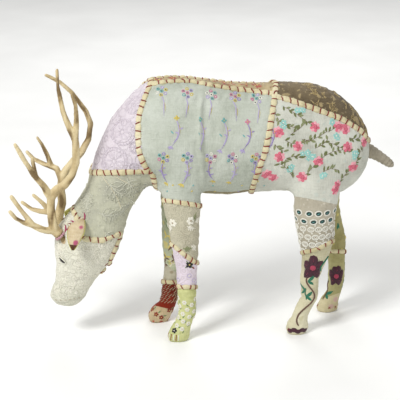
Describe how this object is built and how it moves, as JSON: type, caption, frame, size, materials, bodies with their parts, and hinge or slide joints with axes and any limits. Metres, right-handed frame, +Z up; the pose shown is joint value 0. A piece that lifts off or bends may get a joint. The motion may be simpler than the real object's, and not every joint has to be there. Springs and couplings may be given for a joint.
{
  "type": "patchwork yard reindeer",
  "caption": "Grazing reindeer yard figure: steel armature and moulded cores under patchwork fabric with stitched binding, branching antlers that pull out of keyed sockets in the head.",
  "frame": {"origin": "centre of the footprint's box, on the surface that the hooves stand on", "axes": "+Z up, -X towards the antlers and head, +X towards the tail, -Y on the figure's left side"},
  "size_m": [0.7753, 0.1598, 0.5716],
  "materials": {
    "core": "matte",
    "steel": "satin",
    "brass": "satin",
    "peg_wood": "matte",
    "antler": "satin",
    "eye_glass": "gloss",
    "ear_fabric": "matte",
    "linen": "matte",
    "saddle_print": "matte",
    "belly_print": "matte",
    "rump_brocade": "matte",
    "rose_print": "matte",
    "lilac": "matte",
    "neck_brocade": "matte",
    "lace": "matte",
    "leg_prints": "matte",
    "tail_fabric": "matte",
    "binding": "matte"
  },
  "bodies": {
    "figure": {"torso_core": "core", "neck_core": "core", "head_core": "core", "tail_core": "core", "front_left_leg_core": "core", "front_right_leg_core": "core", "hind_left_leg_core": "core", "hind_right_leg_core": "core", "spine_bar": "steel", "crossbars": "steel", "spine_bolts": "steel", "neck_rod": "steel", "leg_rods": "steel", "leg_rod_nuts": "steel", "left_ferrule": "brass", "right_ferrule": "brass", "left_eye": "eye_glass", "right_eye": "eye_glass", "left_ear": "ear_fabric", "right_ear": "ear_fabric", "tail_wrap": "tail_fabric", "saddle_patch": "saddle_print", "left_flank_patch": "linen", "right_flank_patch": "linen", "belly_patch": "belly_print", "rump_patch": "rump_brocade", "left_haunch_patch": "rose_print", "right_haunch_patch": "rose_print", "upper_neck_patch": "lilac", "lower_neck_patch": "neck_brocade", "face_patch": "lace", "front_left_upper_sleeve": "leg_prints", "front_left_knee_sleeve": "leg_prints", "front_left_lower_sleeve": "leg_prints", "front_right_upper_sleeve": "leg_prints", "front_right_knee_sleeve": "leg_prints", "front_right_lower_sleeve": "leg_prints", "hind_left_thigh_sleeve": "leg_prints", "hind_left_lower_sleeve": "leg_prints", "hind_right_thigh_sleeve": "leg_prints", "hind_right_lower_sleeve": "leg_prints", "shoulder_binding": "binding", "hip_binding": "binding", "left_back_binding": "binding", "right_back_binding": "binding", "left_rump_binding": "binding", "right_rump_binding": "binding", "left_neck_binding": "binding", "right_neck_binding": "binding", "jaw_binding": "binding", "leg_bindings": "binding"},
    "left_antler": {"left_antler": "antler", "left_peg": "peg_wood"},
    "right_antler": {"right_antler": "antler", "right_peg": "peg_wood"}
  },
  "joints": [
    {"name": "left_antler_pull", "type": "slide", "parent": "figure", "child": "left_antler", "axis": [-0.6561, 0, 0.7547], "range_m": [0, 0.045]},
    {"name": "right_antler_pull", "type": "slide", "parent": "figure", "child": "right_antler", "axis": [-0.6561, 0, 0.7547], "range_m": [0, 0.045]}
  ]
}
